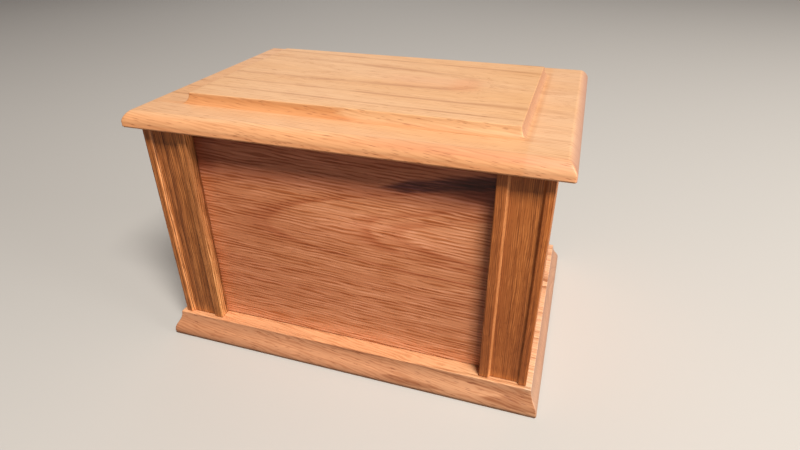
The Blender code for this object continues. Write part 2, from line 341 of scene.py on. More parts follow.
def mineralStreak(shape):
    # A dark streak that starts in a point and follows the grain.
    tree, given, result = newGroup("mineral streak", {
        "Board": None, "Start": 0.0, "Height": 0.0, "Rise": 0.0, "Growth": 0.03, "Widest": 0.003},
        {"Streak Share": "NodeSocketFloat"})
    along, across = split(tree, given["Board"])[:2]
    run = calc(tree, "SUBTRACT", along, given["Start"])
    ragged = noise(tree, given["Board"], shape["raggedScale"], detail=3.0)
    middle = calc(tree, "MULTIPLY_ADD", run, given["Rise"], given["Height"])
    off = calc(tree, "ABSOLUTE", calc(tree, "SUBTRACT", across, middle))
    off = calc(tree, "MULTIPLY_ADD", calc(tree, "SUBTRACT", ragged, noiseMean), shape["ragged"], off)
    half = ease(tree, run, 0.0, given["Growth"], 0.0, given["Widest"])
    inside = ease(tree, calc(tree, "SUBTRACT", off, half), *shape["rim"], 1.0, 0.0)
    threads = noise(tree, given["Board"], shape["threadScale"])
    inside = calc(tree, "MULTIPLY", inside, ease(tree, threads, *shape["threadEdge"], shape["thinnest"], 1.0))
    tree.links.new(calc(tree, "MULTIPLY", inside, ease(tree, run, *shape["tipFade"])), result["Streak Share"])
    return tree


groups = {
    "rings": growthRings(ringShape), "bands": ringBands(bandShape), "years": darkYears(yearShape),
    "pores": openPores(poreShape), "flecks": rayFlecks(fleckShape), "zone": softZone(zoneShape),
    "wear": satinWear(wearShape), "streak": mineralStreak(streakShape)}
print("wood patterns ready")

columnWide, rowHigh = 240, 190                            # spacing of the nodes on screen


def layOut(tree):
    # Columns by distance from the output, so that the tree can be read.
    column = {node: 0 for node in tree.nodes}
    for _ in range(len(tree.nodes)):
        moved = False
        for link in tree.links:
            wanted = column[link.to_node] + 1
            if column[link.from_node] < wanted:
                column[link.from_node] = wanted
                moved = True
        if not moved:
            break
    filled = {}
    for node in tree.nodes:
        step = column[node]
        node.location = (-columnWide * step, -rowHigh * filled.get(step, 0))
        filled[step] = filled.get(step, 0) + 1


for tree in groups.values():
    layOut(tree)


def useGroup(tree, name, inputs):
    node = put(tree, "ShaderNodeGroup")
    node.node_tree = groups[name]
    for label, value in inputs.items():
        plug(tree, node.inputs[label], value)
    return node.outputs


def colour(value):
    return (*value, 1.0)


def patch(centre, half, fade, tone, ragged=0.0):          # a soft zone of a board and its tint: the wood's own tone in some zones, painted shade or painted light in others
    return {"Centre": centre, "Half Size": half, "Fade": fade, "Ragged": ragged}, tone


# Solid oak under a clear satin finish. What is the same on every board is here.
# The rest about one board is in its own dictionary.
oakFinish = dict(
    endFacing=(0.2, 0.9), sideFacing=(0.5, 0.95),         # how squarely a face looks along or across the grain
    driftScale=(5.0, 26.0, 26.0), driftEdge=(0.32, 0.68),  # from pale to warm wood
    lateFlecks=0.75, earlyFlecks=0.4,                     # dashes in late wood, and more of them in early wood
    specular=0.45, coatRoughness=0.32,
    sheenSpread=0.16, poreRough=0.18, scratchRough=0.2, endRough=0.08,
    waveDeep=0.00012, scratchDeep=0.00003)


def makeOak(name, look, finish=oakFinish):
    material = bpy.data.materials.new(name)
    material.use_nodes = True
    tree = material.node_tree
    shader = tree.nodes["Principled BSDF"]
    place = put(tree, "ShaderNodeTexCoord").outputs
    axes = split(tree, place["Object"])
    board = join(tree, *(axes[axis] for axis in look["grain"]))
    board = vectorCalc(tree, "SUBTRACT", board, look["origin"])
    facing = split(tree, place["Normal"])
    alongAxis, acrossAxis = look["grain"][:2]
    endGrain = ease(tree, calc(tree, "ABSOLUTE", facing[alongAxis]), *finish["endFacing"])
    sideFace = ease(tree, calc(tree, "ABSOLUTE", facing[acrossAxis]), *finish["sideFacing"])
    rings = useGroup(tree, "rings", {"Board": board, **look["rings"]})
    bands = useGroup(tree, "bands", {"Rings": rings["Rings"], **look["bands"]})
    crowding = calc(tree, "MULTIPLY_ADD", sideFace, look["sideCrowding"], look["crowding"])
    pores = useGroup(tree, "pores", {
        "Fibre": rings["Fibre"], "Early": bands["Early"], "Crowding": crowding, **look["pores"]})["Pores"]
    flecks = useGroup(tree, "flecks", {"Fibre": rings["Fibre"], **look["flecks"]})
    wear = useGroup(tree, "wear", {"Board": board, "Rubbed": look["rubbed"]})

    def stained(wood, mask, amount, tone, clamp=False):
        share = calc(tree, "MULTIPLY", mask, look[amount], clamp=clamp)
        return tint(tree, share, wood, colour(look[tone]), "MULTIPLY")

    drift = ease(tree, noise(tree, board, finish["driftScale"], detail=3.0), *finish["driftEdge"])
    wood = tint(tree, drift, colour(look["pale"]), colour(look["warm"]))
    wood = stained(wood, bands["Early"], "early", "ring")
    marks = calc(tree, "MULTIPLY", bands["Line"], look["line"])
    if "years" in look:
        years = useGroup(tree, "years", {
            "Fibre": rings["Fibre"], "Offset": rings["Offset"], **look["years"]})["Years"]
        marks = calc(tree, "MAXIMUM", marks, calc(tree, "MULTIPLY", years, look["year"]))
    wood = tint(tree, marks, wood, colour(look["ring"]), "MULTIPLY")
    crowd = calc(tree, "MULTIPLY_ADD", bands["Early"], finish["earlyFlecks"], finish["lateFlecks"])
    # painted highlight: the gleam between the dashes, tinted with the shine colour
    wood = stained(wood, flecks["Gleam"], "gleam", "shine")
    wood = stained(wood, calc(tree, "MULTIPLY", flecks["Flecks"], crowd), "fleck", "ray", clamp=True)
    wood = stained(wood, pores, "pore", "slit")
    # a dark streak along the grain on the panel's upper right
    if "streak" in look:
        stain = useGroup(tree, "streak", {"Board": board, **look["streak"]})["Streak Share"]
        wood = stained(wood, stain, "stain", "mineral")
    wood = tint(tree, calc(tree, "MULTIPLY", endGrain, look["endShare"]), wood, colour(look["end"]))
    if "side" in look:
        wood = stained(wood, sideFace, "sideShare", "side")
    # Zones tint the wood by place. Some are its own tone; others are painted shade, painted shadow or painted
    # light, noted at each board.
    for zone, tone in look.get("zones", ()):
        share = useGroup(tree, "zone", {"Board": board, **zone})["Share"]
        wood = tint(tree, share, wood, colour(tone), "MULTIPLY")
    tree.links.new(wood, shader.inputs["Base Color"])

    smoothest = look["roughness"] - finish["sheenSpread"] / 2
    rough = calc(tree, "MULTIPLY_ADD", wear["Sheen"], finish["sheenSpread"], smoothest)
    rough = calc(tree, "MULTIPLY_ADD", pores, finish["poreRough"], rough)
    rough = calc(tree, "MULTIPLY_ADD", wear["Scratches"], finish["scratchRough"], rough)
    rough = calc(tree, "MULTIPLY_ADD", endGrain, finish["endRough"], rough, clamp=True)
    tree.links.new(rough, shader.inputs["Roughness"])
    shader.inputs["Specular IOR Level"].default_value = finish["specular"]
    shader.inputs["Coat Weight"].default_value = look["coat"]
    shader.inputs["Coat Roughness"].default_value = finish["coatRoughness"]

    relief = calc(tree, "MULTIPLY", pores, -look["poreDeep"])
    relief = calc(tree, "MULTIPLY_ADD", flecks["Ripple"], look["rippleDeep"], relief)
    relief = calc(tree, "MULTIPLY_ADD", bands["Early"], -look["ringDeep"], relief)
    relief = calc(tree, "MULTIPLY_ADD", wear["Waves"], finish["waveDeep"], relief)
    relief = calc(tree, "MULTIPLY_ADD", wear["Scratches"], -finish["scratchDeep"], relief)
    bump = put(tree, "ShaderNodeBump", {"Height": relief, "Strength": 1.0, "Distance": 1.0})
    tree.links.new(bump.outputs["Normal"], shader.inputs["Normal"])
    layOut(tree)
    return material


# Mesh helpers. A guard is a loop close beside a round, so that smooth shading keeps the flat beyond it flat.

def cornerRing(halfX, halfY, z, radius, steps=5, guard=0.0012, middle=(0.0, 0.0)):
    # One level outline with round corners and a guard on each side of a round.
    points = []
    for turn, (sx, sy) in enumerate(((1, 1), (-1, 1), (-1, -1), (1, -1))):
        centre = Vector((sx * (halfX - radius), sy * (halfY - radius)))
        first = math.pi / 2 * turn
        angles = [first + math.pi / 2 * k / steps for k in range(steps + 1)]
        curve = [centre + radius * Vector((math.cos(angle), math.sin(angle))) for angle in angles]
        before = Vector((math.sin(first), -math.cos(first))) * guard
        after = Vector((-math.sin(first + math.pi / 2), math.cos(first + math.pi / 2))) * guard
        points += [curve[0] + before, *curve, curve[-1] + after]
    return [(p.x + middle[0], p.y + middle[1], z) for p in points]


def loft(name, rings):
    # Skins a stack of outlines and closes both ends.
    bm = bmesh.new()
    rows = [[bm.verts.new(point) for point in ring] for ring in rings]
    for low, high in zip(rows, rows[1:]):
        count = len(low)
        for k in range(count):
            bm.faces.new((low[k], low[(k + 1) % count], high[(k + 1) % count], high[k]))
    bm.faces.new(list(reversed(rows[0])))
    bm.faces.new(rows[-1])
    bmesh.ops.recalc_face_normals(bm, faces=bm.faces)
    mesh = bpy.data.meshes.new(name)
    bm.to_mesh(mesh)
    bm.free()
    mesh.shade_smooth()
    piece = bpy.data.objects.new(name, mesh)
    scene.collection.objects.link(piece)
    return piece


def settle(piece, node, material):
    piece.data.materials.append(material)
    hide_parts(node)
    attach(piece, "root")
    print(piece.name, "made,", len(piece.data.polygons), "faces")


def arc(across, along, steps, fullness=2.0):
    # From (0, 0) up and in to (across, along): a quarter round, squarer with more fullness.
    points = []
    for k in range(1, steps + 1):
        turn = math.pi / 2 * k / steps
        inset = across * (1 - math.cos(turn) ** (2 / fullness))
        points.append((inset, along * math.sin(turn) ** (2 / fullness)))
    return points


paleOak = dict(ray=(0.72, 0.56, 0.45), end=(0.38, 0.20, 0.135), shine=(1.12, 1.12, 1.12))     # base and lid


# Base board: a ledge for the walls, an ogee edge and a small rounded foot
baseBoard = paleOak | dict(
    pale=(0.68, 0.342, 0.172), warm=(0.59, 0.275, 0.128), ring=(0.62, 0.50, 0.42), slit=(0.5, 0.32, 0.22),
    side=(0.82, 0.75, 0.77), grain=(0, 1, 2), origin=(0.02, -0.03, 0.019),
    rings={"Centre": 0.06, "Drift": 0.02, "Pith Depth": 0.07, "Slope": 0.03, "Ring Width": 0.0042,
           "Wander": 0.006, "Fibre Tilt": 0.16},
    bands={"Crisp": 0.2, "Contrast": 0.5},
    pores={"Length": 0.009, "Width": 0.0009}, crowding=0.2, sideCrowding=0.3,
    flecks={"Length": 0.012, "Spacing": 0.0022, "Coverage": 0.5, "Waver": 3.5},
    early=0.8, line=0.85, fleck=0.7, gleam=1.0, pore=0.8, sideShare=1.0, endShare=0.8, rubbed=0.3,
    zones=(
        patch((-0.13, -0.06, 0.0), (0.035, 0.02, 0.004), (0.04, 0.01, 0.003), (1.12, 1.14, 1.14)),
        patch((0.080, -0.065, 0.0), (0.045, 0.03, 0.03), (0.06, 0.01, 0.01), (1.04, 1.12, 1.15)),
        patch((0.115, 0.0, 0.0), (0.006, 0.3, 0.03), (0.004, 0.01, 0.01), (1.04, 1.10, 1.12)),
        patch((0.115, 0.03, 0.0), (0.005, 0.115, 0.0008), (0.002, 0.02, 0.0012), (1.01, 1.17, 1.42)),
        patch((-0.090, -0.062, 0.0), (0.045, 0.005, 0.0008), (0.03, 0.01, 0.0012), (0.89, 0.85, 0.84))),
    roughness=0.44, coat=0.12, poreDeep=0.00006, rippleDeep=0.00005, ringDeep=0.00002,
    cornerRadius=0.0010, cornerTaper=0.12, cornerLeast=0.0004,
    reach=0.0056, beadShare=0.48, turnHeight=0.0098, beadFoot=0.0028, curveSteps=14,
    footRound=0.0012, footInset=0.0005, arris=0.0006, arrisSteps=4, footGuard=0.0015, topGuard=0.0008)


def makeBase(look):
    low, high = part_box("base_board")
    top = high.z
    steps, arris = look["curveSteps"], look["arris"]
    edge = []                                             # (inset, height) from the foot up
    edge.append((look["footInset"] + look["footGuard"], low.z))
    edge.append((look["footInset"], low.z))
    for inset, rise in arc(look["footInset"], look["footRound"], look["arrisSteps"]):
        edge.append((look["footInset"] - inset, low.z + rise))
    beadDepth = look["reach"] * look["beadShare"]
    coveDepth = look["reach"] - beadDepth
    for k in range(steps + 1):
        share = k / steps
        z = look["beadFoot"] + share * (look["turnHeight"] - look["beadFoot"])
        edge.append((beadDepth * share ** 2, z))
    lip = top - arris
    for k in range(1, steps + 1):
        share = k / steps
        inset = look["reach"] - coveDepth * (1 - share) ** 2
        edge.append((inset, look["turnHeight"] + share * (lip - look["turnHeight"])))
    edge += [(look["reach"] + inset, lip + rise) for inset, rise in arc(arris, arris, look["arrisSteps"])]
    edge.append((look["reach"] + arris + look["topGuard"], top))
    rings = []
    for inset, z in edge:
        radius = max(look["cornerRadius"] - look["cornerTaper"] * inset, look["cornerLeast"])
        rings.append(cornerRing(high.x - inset, high.y - inset, z, radius))
    return loft("base_board_oak", rings)


settle(makeBase(baseBoard), "base_board", makeOak("oak base", baseBoard))


# Lid: an upright edge that rolls over to a flat border, a cove, and the raised field
lidBoard = paleOak | dict(
    pale=(0.68, 0.403, 0.211), warm=(0.652, 0.362, 0.169), ring=(0.62, 0.48, 0.39), slit=(0.52, 0.34, 0.26),
    grain=(0, 1, 2), origin=(0.0, 0.0, 0.187),
    rings={"Centre": 0.0094, "Drift": -0.057, "Pith Depth": 0.0524, "Slope": 0.0257, "Swell": 0.004,
           "Swell Centre": 0.100, "Swell Flat": 0.014, "Swell Reach": 0.048, "Arch Reach": 0.05,
           "Ring Width": 0.0037, "Wander": 0.002, "Fibre Tilt": 0.06},
    bands={"Crisp": 0.3, "Contrast": 0.3},
    years={"First": 0.0558, "Second": 0.0672, "Third": 0.0811, "Thickness": 0.0025, "Soft": 0.0012,
           "Tip Fade": 0.024, "Pale From": 0.103},
    pores={"Length": 0.012, "Width": 0.0008}, crowding=0.02, sideCrowding=0.6,
    flecks={"Length": 0.018, "Spacing": 0.0021, "Coverage": 0.45, "Waver": 2.0},
    early=0.03, line=0.04, year=1.0, fleck=0.45, gleam=0.9, pore=0.75, endShare=0.8, rubbed=0.3,
    zones=(
        patch((0.0, 0.0, -0.012), (0.3, 0.3, 0.0065), (0.01, 0.01, 0.005), (1.01, 0.97, 0.99)),
        patch((-0.062, -0.0694, -0.0034), (0.066, 0.0022, 0.0032), (0.026, 0.0006, 0.0006), (0.89, 0.70, 0.54),
              0.05),
        patch((0.0, -0.0965, -0.0115), (0.3, 0.0032, 0.0070), (0.01, 0.003, 0.003), (1.03, 0.90, 0.80)),
        # painted shade: dims the lamp's highlight along the right half of the front roll
        patch((0.085, -0.0925, -0.0085), (0.06, 0.0030, 0.0024), (0.06, 0.002, 0.002), (0.91, 0.80, 0.78)),
        # painted light: brightens the foot of the front edge as if lit from below
        patch((0.0, -0.0970, -0.0158), (0.3, 0.0030, 0.0022), (0.01, 0.002, 0.002), (1.19, 1.10, 1.06)),
        patch((0.130, 0.0, -0.008), (0.0165, 0.3, 0.010), (0.003, 0.01, 0.003), (1.0, 1.07, 1.17)),
        patch((0.1096, 0.0, -0.003), (0.0026, 0.0705, 0.0028), (0.0006, 0.003, 0.0008), (1.08, 1.05, 0.98)),
        # painted shade: dims the lit foot line of the right cove
        patch((0.1122, 0.0, -0.0064), (0.0022, 0.0735, 0.0012), (0.0014, 0.004, 0.0008), (0.93, 0.91, 0.90)),
        # painted shade: dims a glint along the foot of the front cove, right half
        patch((0.055, -0.0704, -0.0056), (0.062, 0.0016, 0.0016), (0.03, 0.0012, 0.0012), (0.90, 0.79, 0.72)),
        patch((0.055, -0.0683, -0.0014), (0.062, 0.0010, 0.0013), (0.03, 0.0008, 0.0010), (1.09, 1.10, 1.13)),
        patch((0.038, 0.002, 0.0), (0.032, 0.013, 0.003), (0.03, 0.014, 0.004), (0.99, 0.93, 0.93)),
        patch((0.062, 0.002, 0.0), (0.009, 0.014, 0.003), (0.012, 0.012, 0.004), (0.98, 0.90, 0.86))),
    roughness=0.48, coat=0.10, poreDeep=0.00005, rippleDeep=0.00004, ringDeep=0.00002,
    footArris=0.0006, footGuard=0.001, footRadii=(0.0008, 0.0009), arrisSteps=4,
    cornerRadius=0.0012, cornerTaper=0.1, cornerLeast=0.0005,
    edgeFlat=0.0036, lowGuard=0.0012, highGuard=0.0004, edgeInset=0.0060, rollSteps=18, fullness=1.5,
    borderTop=0.1804, borderGuard=0.0006,
    fieldHalf=(0.1077, 0.0673), fieldRadius=0.0006, coveWidth=0.0042, coveSteps=14, fieldArris=0.0006,
    fieldGuard=0.0008)


def makeLid(look):
    low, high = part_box("lid")
    rings = []

    def ring(inset, z, radius):
        rings.append(cornerRing(high.x - inset, high.y - inset, z, radius))

    def fieldRing(out, z):
        halfX, halfY = look["fieldHalf"]
        rings.append(cornerRing(halfX + out, halfY + out, z, look["fieldRadius"]))

    guardRadius, footRadius = look["footRadii"]
    ring(look["footArris"] + look["footGuard"], low.z, guardRadius)
    ring(look["footArris"], low.z, footRadius)
    for inset, rise in arc(look["footArris"], look["footArris"], look["arrisSteps"]):
        ring(look["footArris"] - inset, low.z + rise, look["cornerRadius"])
    ring(0.0, low.z + look["lowGuard"], look["cornerRadius"])
    flatTop = low.z + look["edgeFlat"]
    ring(0.0, flatTop - look["highGuard"], look["cornerRadius"])
    roll = arc(look["edgeInset"], look["borderTop"] - flatTop, look["rollSteps"], look["fullness"])
    for inset, rise in [(0.0, 0.0)] + roll:
        radius = max(look["cornerRadius"] - look["cornerTaper"] * inset, look["cornerLeast"])
        ring(inset, flatTop + rise, radius)
    ring(look["edgeInset"] + look["borderGuard"], look["borderTop"], look["cornerLeast"])
    cove, arris = look["coveWidth"], look["fieldArris"]
    wallTop = high.z - arris
    fieldRing(cove + look["borderGuard"], look["borderTop"])
    for k in range(look["coveSteps"] + 1):
        turn = math.pi / 2 * k / look["coveSteps"]
        fieldRing(cove * (1 - math.sin(turn)), wallTop - (wallTop - look["borderTop"]) * math.cos(turn))
    for inset, rise in arc(arris, arris, look["arrisSteps"]):
        fieldRing(-inset, wallTop + rise)
    fieldRing(-arris - look["fieldGuard"], high.z)
    return loft("lid_oak", rings)


settle(makeLid(lidBoard), "lid", makeOak("oak lid", lidBoard))


# Walls: plain boards with softened edges
wallBoard = dict(
    pale=(0.66, 0.28, 0.122), warm=(0.58, 0.225, 0.092), ring=(0.64, 0.52, 0.45), ray=(0.56, 0.44, 0.38),
    slit=(0.5, 0.36, 0.3), end=(0.45, 0.22, 0.12), shine=(1.2, 1.22, 1.25),
    bands={"Crisp": 0.15, "Contrast": 0.5},
    pores={"Length": 0.009, "Width": 0.0006}, crowding=0.2, sideCrowding=0.1,
    flecks={"Length": 0.015, "Spacing": 0.0022, "Coverage": 0.4, "Waver": 2.2},
    early=0.35, line=0.2, fleck=0.9, gleam=1.0, pore=0.45, endShare=0.8, rubbed=0.25,
    roughness=0.46, coat=0.10, poreDeep=0.00006, rippleDeep=0.00016, ringDeep=0.00002)
panelBoard = wallBoard | dict(
    pale=(0.69, 0.279, 0.129), warm=(0.605, 0.224, 0.098), ring=(0.72, 0.51, 0.38), ray=(0.58, 0.37, 0.14),
    shine=(1.26, 1.42, 1.70), mineral=(0.22, 0.145, 0.30), grain=(0, 2, 1), origin=(0.0, 0.113, -0.0815),
    rings={"Centre": -0.0006, "Drift": 0.05, "Pith Depth": 0.0855, "Slope": -0.041, "Arch Reach": 0.07,
           "Ring Width": 0.0042, "Wander": 0.003, "Fibre Tilt": 0.10},
    years={"First": 0.08776, "Second": 0.08464, "Third": 0.08333, "Thickness": 0.0011, "Soft": 0.0002},
    streak={"Start": 0.0200, "Height": 0.0302, "Rise": 0.18, "Growth": 0.030, "Widest": 0.0046},
    pores={"Length": 0.009, "Width": 0.0009}, crowding=0.3,
    flecks={"Length": 0.022, "Spacing": 0.0023, "Coverage": 0.46, "Waver": 1.8},
    year=0.75, stain=1.0, pore=0.55,
    zones=(
        patch((-0.11, 0.0, 0.0), (0.09, 0.2, 0.03), (0.12, 0.01, 0.01), (0.86, 0.80, 0.77)),
        # painted shadow: the lid's shadow across the top of the panel
        patch((0.0, 0.048, 0.0), (0.2, 0.024, 0.03), (0.01, 0.016, 0.01), (0.85, 0.75, 0.82)),
        # painted shade in the top left corner, beside the left strip and under the lid
        patch((-0.097, 0.045, 0.0), (0.010, 0.020, 0.03), (0.014, 0.012, 0.01), (0.68, 0.60, 0.62)),
        # painted shade in the top right corner, beside the right strip and under the lid; it also darkens the
        # end of the dark streak
        patch((0.092, 0.038, 0.0), (0.018, 0.008, 0.03), (0.03, 0.008, 0.01), (0.50, 0.35, 0.34)),
        patch((0.036, 0.001, 0.0), (0.046, 0.009, 0.03), (0.045, 0.014, 0.01), (1.15, 1.19, 1.28)),
        patch((0.0, -0.054, 0.0), (0.2, 0.018, 0.03), (0.01, 0.02, 0.01), (0.95, 0.91, 0.91)),
        # painted light: bounce from the ledge along the panel's foot; the next zone tempers its colour
        patch((0.0, -0.096, 0.0), (0.2, 0.014, 0.03), (0.01, 0.020, 0.01), (1.12, 1.19, 1.28)),
        patch((0.0, -0.0965, 0.0), (0.2, 0.0055, 0.03), (0.01, 0.005, 0.01), (0.92, 1.01, 1.07))))
backBoard = wallBoard | dict(
    grain=(0, 2, 1), origin=(0.03, 0.09, 0.0905),
    rings={"Centre": 0.01, "Drift": -0.02, "Pith Depth": 0.09, "Slope": 0.04, "Ring Width": 0.0045,
           "Wander": 0.006, "Fibre Tilt": -0.02})
leftBoard = wallBoard | dict(
    grain=(1, 2, 0), origin=(0.01, 0.10, -0.1305),
    rings={"Centre": -0.02, "Drift": 0.03, "Pith Depth": 0.075, "Slope": 0.04, "Ring Width": 0.0043,
           "Wander": 0.005, "Fibre Tilt": 0.02})
rightBoard = wallBoard | dict(
    pale=(0.66, 0.245, 0.080), warm=(0.58, 0.205, 0.063), grain=(1, 2, 0), origin=(-0.02, 0.07, 0.1305),
    rings={"Centre": 0.015, "Drift": 0.02, "Pith Depth": 0.08, "Slope": -0.04, "Ring Width": 0.0041,
           "Wander": 0.005, "Fibre Tilt": -0.02})
wallShape = dict(
    joint=0.0002,                                         # how far the foot reaches into the joint below
    endGuard=0.001, sideGuard=0.0008, arrisSteps=3, cornerSteps=4)


def makeWall(name, node, arris, look):
    low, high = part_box(node)
    middle = ((low.x + high.x) / 2, (low.y + high.y) / 2)
    halfX, halfY = (high.x - low.x) / 2, (high.y - low.y) / 2
    foot, top = low.z - look["joint"], high.z
    bend = arc(arris, arris, look["arrisSteps"])
    edge = [(arris + look["endGuard"], foot), (arris, foot)]
    edge += [(arris - inset, foot + rise) for inset, rise in bend]
    edge += [(0.0, foot + arris + look["sideGuard"]), (0.0, top - arris - look["sideGuard"])]
    edge.append((0.0, top - arris))
    edge += [(inset, top - arris + rise) for inset, rise in bend]
    edge.append((arris + look["endGuard"], top))
    return loft(name, [
        cornerRing(halfX - inset, halfY - inset, z, arris, look["cornerSteps"], middle=middle)
        for inset, z in edge])


for node, name, board, arris in (
        ("wall_front", "front_panel_oak", panelBoard, 0.0003), ("wall_back", "back_wall_oak", backBoard, 0.0003),
        ("wall_left", "left_wall_oak", leftBoard, 0.0006), ("wall_right", "right_wall_oak", rightBoard, 0.0006)):
    settle(makeWall(name, node, arris, wallShape), node, makeOak(name.replace("_", " "), board))


# Corner strips: a wide shallow channel between two fillets
stripBoard = dict(
    pale=(0.48, 0.163, 0.043), warm=(0.36, 0.113, 0.029), ring=(0.62, 0.55, 0.5), ray=(0.50, 0.38, 0.18),
    slit=(0.4, 0.3, 0.24), end=(0.34, 0.15, 0.07), side=(1.2, 1.55, 2.15), shine=(1.4, 1.58, 1.85),
    grain=(2, 0, 1), bands={"Crisp": 0.25, "Contrast": 0.4},
    pores={"Length": 0.004, "Width": 0.0006}, crowding=0.4, sideCrowding=0.0,
    flecks={"Length": 0.009, "Spacing": 0.0011, "Coverage": 0.5, "Waver": 2.6},
    early=0.55, line=0.35, fleck=0.8, gleam=0.9, pore=0.8, sideShare=0.8, endShare=0.8, rubbed=0.5,
    roughness=0.44, coat=0.12, poreDeep=0.00006, rippleDeep=0.00005, ringDeep=0.00002,
    outerFillet=0.0048, innerFillet=0.0061, channelDeep=0.0019, slopeWidth=0.0014, arris=0.0006,
    endNick=0.0002, endGuard=0.001)
leftStripBoard = stripBoard | dict(
    ring=(0.52, 0.45, 0.40), ray=(0.42, 0.32, 0.16), shine=(1.5, 1.68, 1.95), origin=(0.09, -0.115, -0.09),
    rings={"Centre": -0.05, "Drift": 0.01, "Pith Depth": 0.03, "Slope": 0.01, "Ring Width": 0.0036,
           "Wander": 0.003, "Fibre Tilt": 0.008},
    flecks={"Length": 0.013, "Spacing": 0.0013, "Coverage": 0.5, "Waver": 2.6},
    early=0.8, line=0.6, fleck=0.9,
    zones=(
        # painted highlight on the outer slope, stopping short of the lid's shadow
        patch((-0.025, -0.0100, 0.0), (0.080, 0.0013, 0.02), (0.02, 0.0010, 0.01), (1.8, 2.0, 2.2)),
        patch((0.0, 0.0127, 0.0), (0.3, 0.0030, 0.0014), (0.01, 0.001, 0.0006), (0.94, 0.97, 1.0)),
        patch((0.0, -0.0131, 0.0), (0.062, 0.0019, 0.0014), (0.02, 0.0008, 0.0006), (1.2, 1.28, 1.32)),
        patch((-0.037, 0.0058, 0.0), (0.075, 0.0036, 0.02), (0.03, 0.003, 0.01), (0.88, 0.86, 0.76), 0.03),
        patch((-0.045, -0.0005, 0.0), (0.045, 0.0030, 0.02), (0.03, 0.003, 0.01), (1.02, 1.06, 1.06),
              0.03),
        # painted shadow of the inner fillet on the channel floor
        patch((-0.045, 0.0074, 0.0), (0.050, 0.0017, 0.02), (0.05, 0.0014, 0.01), (0.68, 0.63, 0.58)),
        patch((0.075, 0.0, 0.0), (0.009, 0.03, 0.03), (0.010, 0.01, 0.01), (1.35, 1.4, 1.4)),
        # painted highlight along the inner arris, lower part
        patch((-0.065, 0.0159, 0.0), (0.05, 0.0009, 0.03), (0.10, 0.0008, 0.01), (1.15, 1.3, 1.35)),
        patch((-0.070, 0.0127, 0.0), (0.042, 0.0034, 0.03), (0.06, 0.001, 0.01), (1.16, 1.20, 1.22)),
        # painted light: bounce from the ledge at the strip's foot
        patch((-0.075, 0.0, 0.0), (0.008, 0.03, 0.03), (0.012, 0.01, 0.01), (1.2, 1.25, 1.3))))
rightStripBoard = stripBoard | dict(
    pale=(0.50, 0.157, 0.035), warm=(0.385, 0.112, 0.025), origin=(0.09, 0.115, -0.09),
    rings={"Centre": 0.05, "Drift": -0.01, "Pith Depth": 0.03, "Slope": -0.01, "Ring Width": 0.0034,
           "Wander": 0.003, "Fibre Tilt": -0.01},
    fleck=0.6, pore=0.6,
    zones=(
        # painted highlight on the inner slope
        patch((0.0, -0.0091, 0.0), (0.3, 0.0006, 0.02), (0.01, 0.0006, 0.01), (1.4, 1.55, 1.8)),
        patch((0.0, 0.0134, 0.0), (0.3, 0.0026, 0.02), (0.01, 0.001, 0.01), (0.93, 0.88, 0.82)),
        patch((0.055, 0.0134, 0.0), (0.028, 0.0026, 0.02), (0.03, 0.001, 0.01), (1.12, 1.14, 1.16)),
        patch((0.006, -0.0034, 0.0), (0.0030, 0.0002, 0.02), (0.002, 0.0005, 0.01), (1.45, 1.6, 1.8),
              0.004),
        patch((0.008, -0.0017, 0.0), (0.0018, 0.0002, 0.02), (0.002, 0.0005, 0.01), (1.3, 1.4, 1.5), 0.004),
        patch((-0.052, 0.0, 0.0), (0.045, 0.03, 0.03), (0.05, 0.01, 0.01), (0.85, 0.80, 0.78)),
        # painted shade on the outer slope, which faces away from the lamp
        patch((0.040, 0.0102, 0.0), (0.065, 0.0006, 0.02), (0.05, 0.0006, 0.01), (0.62, 0.46, 0.32)),
        # painted light: bounce from the ledge at the strip's foot
        patch((-0.073, 0.0, 0.0), (0.006, 0.03, 0.03), (0.010, 0.01, 0.01), (1.3, 1.5, 1.7))))


def roundedCorner(before, corner, after, radius, steps=4, guard=0.0006):
    toBefore = (before - corner).normalized()
    toAfter = (after - corner).normalized()
    opening = toBefore.angle(toAfter)
    reach = radius / math.tan(opening / 2)
    centre = corner + (toBefore + toAfter).normalized() * (radius / math.sin(opening / 2))
    start, end = corner + toBefore * reach, corner + toAfter * reach
    points = []
    for k in range(steps + 1):
        spoke = (start - centre).lerp(end - centre, k / steps)
        points.append(centre + spoke.normalized() * radius)
    guard = min(guard, (before - corner).length / 4, (after - corner).length / 4)
    return [start + toBefore * guard, *points, end + toAfter * guard]


def stripSection(low, high, side, look):
    # Seen from above, from the outer back corner round the front to the inner back corner.
    face, back = low.y, high.y
    outer = high.x if side > 0 else low.x
    width = high.x - low.x
    slope, deep, arris = look["slopeWidth"], look["channelDeep"], look["arris"]
    steps = [
        (0.0, back, 0.0), (0.0, face, arris), (look["outerFillet"], face, arris),
        (look["outerFillet"] + slope, face + deep, arris),
        (width - look["innerFillet"] - slope, face + deep, arris),
        (width - look["innerFillet"], face, arris), (width, face, arris), (width, back, 0.0)]
    corners = [(Vector((outer - side * inward, y)), radius) for inward, y, radius in steps]
    outline = []
    for k, (corner, radius) in enumerate(corners):
        if radius:
            outline += roundedCorner(corners[k - 1][0], corner, corners[k + 1][0], radius)
        else:
            outline.append(corner)
    return outline


def shrunk(outline, inset):
    # The outline moved inward by inset, point by point.
    area = sum(a.cross(b) for a, b in zip(outline, outline[1:] + outline[:1]))
    points = []
    for k, point in enumerate(outline):
        before = (point - outline[k - 1]).normalized()
        after = (outline[(k + 1) % len(outline)] - point).normalized()
        normal = Vector((-before.y - after.y, before.x + after.x)).normalized()
        points.append(point + normal * (inset if area > 0 else -inset))
    return points


